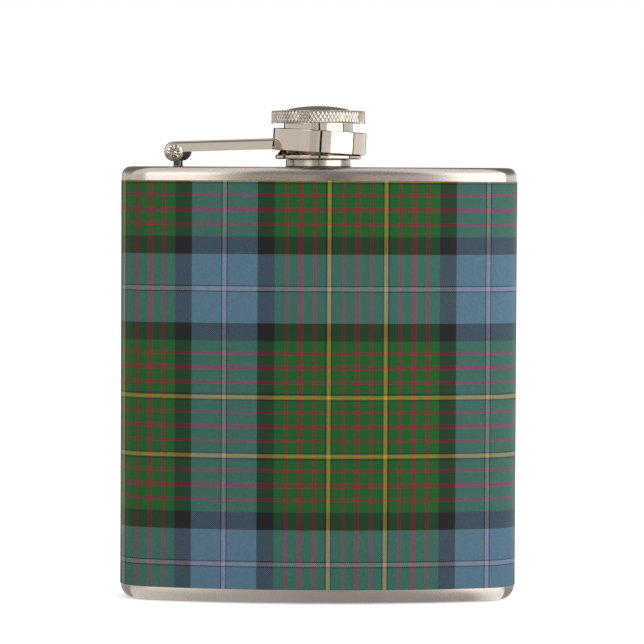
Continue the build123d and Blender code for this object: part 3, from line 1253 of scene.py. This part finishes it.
@dataclass
class Studio:
    """The floor, the light and the camera."""

    camera_distance: float = 0.750
    camera_side: float = 0.73 * MM
    eye_level: float = 98.0 * MM
    lens: float = 179.35
    lens_shift: float = -0.0783
    pitch: float = 1.612
    roll: float = 0.28
    card_distance: float = 0.8
    near_table: float = 0.12
    fade_reach: float = 200.0
    table_glow: tuple[tuple[float, float], ...] = (
        (-75, 0.3), (-66, 0.38), (-56, 0.62), (-43, 0.62), (-27, 0.4), (-11, 0.34), (0, 0.29), (13, 0.27),
        (26, 0.28), (36, 0.34), (41, 0.8), (47, 1.0), (54, 1.0), (60, 0.5), (67, 0.2),
    )

    def floor(self) -> None:
        """Makes the pale floor."""
        shape = bmesh.new()
        bmesh.ops.create_grid(shape, x_segments=1, y_segments=1, size=8.0)
        mesh = bpy.data.meshes.new("floor")
        shape.to_mesh(mesh)
        shape.free()
        bench = Bench("pale_floor")
        bench.feed(bench.shader, "Base Color", (1.0, 1.0, 1.0, 1.0))
        bench.feed(bench.shader, "Roughness", 0.9)
        bench.feed(bench.shader, "Emission Color", (1.0, 1.0, 1.0, 1.0))
        bench.feed(bench.shader, "Emission Strength", 0.25)
        bench.feed(bench.shader, "Specular IOR Level", 0.1)
        mesh.materials.append(bench.material)
        made = bpy.data.objects.new("floor", mesh)
        bpy.context.scene.collection.objects.link(made)

    def card(
        self, name: str, turn: tuple[float, float], near: tuple[float, float], far: tuple[float, float],
        glow: float, lights: bool = False, fade: tuple[tuple[float, float], ...] = (),
    ) -> None:
        """Hangs a curved card round the object, seen only in its reflections.

        Args:
            name: the card's name.
            turn: its first and last bearing in degrees, 0 at the camera and 90 at the right.
            near: one edge's distance and height.
            far: the other edge's distance and height.
            glow: how bright it is.
            lights: whether it lights matt surfaces too.
            fade: distances to the right in millimetres, with the share of the glow that shows at each.
        """
        shape = bmesh.new()
        first = math.radians(turn[0])
        ahead = Vector((math.sin(first), -math.cos(first), 0))
        reach(shape, shape.verts.new(ahead * near[0] + Z_AXIS * near[1]), ahead * far[0] + Z_AXIS * far[1])
        steps = max(2, round(abs(turn[1] - turn[0]) / 4))
        bmesh.ops.spin(
            shape, geom=shape.verts[:] + shape.edges[:], cent=(0, 0, 0), axis=Z_AXIS,
            angle=math.radians(turn[1] - turn[0]), steps=steps,
        )
        mesh = bpy.data.meshes.new(name)
        shape.to_mesh(mesh)
        shape.free()
        material = bpy.data.materials.new(name)
        material.use_nodes = True
        nodes = material.node_tree.nodes
        nodes.remove(nodes["Principled BSDF"])
        glowing = nodes.new("ShaderNodeEmission")
        glowing.inputs["Strength"].default_value = glow
        if fade:
            material.node_tree.links.new(self.faded(material, fade), glowing.inputs["Color"])
        material.node_tree.links.new(glowing.outputs[0], nodes["Material Output"].inputs[0])
        mesh.materials.append(material)
        made = bpy.data.objects.new(name, mesh)
        bpy.context.scene.collection.objects.link(made)
        made.visible_camera = False
        made.visible_shadow = False
        made.visible_diffuse = lights
        made.visible_transmission = False

    def faded(
        self, material: bpy.types.Material, fade: tuple[tuple[float, float], ...],
    ) -> bpy.types.NodeSocket:
        """Makes a brightness that changes across the table.

        Args:
            material: the card's material.
            fade: distances to the right in millimetres, with the brightness at each.

        Returns:
            The brightness's socket.
        """
        nodes, links = material.node_tree.nodes, material.node_tree.links
        place = nodes.new("ShaderNodeTexCoord")
        across = nodes.new("ShaderNodeMapping")
        across.inputs["Location"].default_value = (0.5, 0.0, 0.0)
        across.inputs["Scale"].default_value = (1 / (self.fade_reach * MM), 1.0, 1.0)
        slope = nodes.new("ShaderNodeTexGradient")
        ramp = nodes.new("ShaderNodeValToRGB")
        stops = ramp.color_ramp.elements
        stops.remove(stops[1])
        stops[0].position = 0.5 + fade[0][0] / self.fade_reach
        stops[0].color = (fade[0][1],) * 3 + (1.0,)
        for distance, share in fade[1:]:
            stops.new(0.5 + distance / self.fade_reach).color = (share,) * 3 + (1.0,)
        links.new(place.outputs["Object"], across.inputs[0])
        links.new(across.outputs[0], slope.inputs[0])
        links.new(slope.outputs["Fac"], ramp.inputs[0])
        return ramp.outputs[0]

    def light(self) -> None:
        """Sets the even surround and hangs the cards."""
        world = bpy.data.worlds.new("studio")
        bpy.context.scene.world = world
        world.use_nodes = True
        background = world.node_tree.nodes["Background"]
        background.inputs[0].default_value = (1, 1, 1, 1)
        background.inputs[1].default_value = 1.0
        far = self.card_distance
        self.card("soft_light_right", (29, 90), (far, 0.0), (far, 0.6), 3.2, True)
        self.card("light_edge_right", (90, 94), (far, 0.0), (far, 0.6), 0.05)
        self.card("soft_light_left", (-50, -24), (far, 0.2), (far, 0.5), 1.6)
        self.card("rim_glow_left", (-44, -22), (far - 0.01, 0.17), (far - 0.01, 0.5), 3.0)
        self.card("camera_gap", (0.5, 6.0), (far, 0.0), (far, 0.3), 0.03)
        self.card("camera_shade", (-24, -5.5), (far, 0.0), (far, 0.18), 0.82)
        self.card("rim_shade_left", (-140, -50), (far - 0.01, 0.0), (far - 0.01, 0.108), 0.5)
        self.card("ceiling_front", (-20, 26), (far, 0.18), (0.5, 1.2), 0.27)
        self.card("ceiling_back", (95, 265), (far, 0.23), (0.5, 1.0), 0.2)
        self.card("backdrop_gap_left", (188, 212), (far, 0.0), (far, 0.23), 0.05)
        self.card("backdrop_gap_right", (158, 171), (far, 0.0), (far, 0.23), 0.3)
        for name, turn, height, glow in (
            ("table", (-85, 85), 0.001, 0.4), ("table_middle", (-24, 20), 0.002, 0.08),
        ):
            self.card(name, turn, (self.near_table, height), (0.78, height), glow)
        for name, turn, height, glow, fade in (
            ("table_side_left", (-125, -86), 0.0004, 0.4, ()),
            ("table_side_right", (86, 125), 0.0004, 0.4, ()),
            ("table_near", (-90, 90), 0.0003, 1.5, self.table_glow),
        ):
            self.card(name, turn, (0.001, height), (self.near_table, height), glow, fade=fade)
        bpy.context.scene.view_settings.view_transform = "Standard"

    def camera(self) -> None:
        """Sets up the camera."""
        data = bpy.data.cameras.new("camera")
        data.lens = self.lens
        data.sensor_width = 36.0
        data.shift_y = self.lens_shift
        made = bpy.data.objects.new("camera", data)
        bpy.context.scene.collection.objects.link(made)
        depth = middle("cap_head").y
        nod = Matrix.Rotation(math.radians(90 - self.pitch), 4, "X")
        lean = Matrix.Rotation(math.radians(self.roll), 4, "Z")
        eye = Matrix.Translation((self.camera_side, depth - self.camera_distance, self.eye_level))
        made.matrix_world = eye @ nod @ lean
        bpy.context.scene.camera = made

    def build(self) -> None:
        """Sets up the studio."""
        self.floor()
        self.light()
        self.camera()


def main() -> None:
    """Builds the flask, part by part, and the studio round it."""
    logging.basicConfig(level=logging.INFO, format="%(name)s %(message)s")
    FlaskBody().build()
    spout = Spout()
    spout.build()
    ring = Ring()
    ring.build()
    Hinge().build(ring)
    Cap().build(spout)
    Studio().build()


if __name__ == "__main__":
    main()
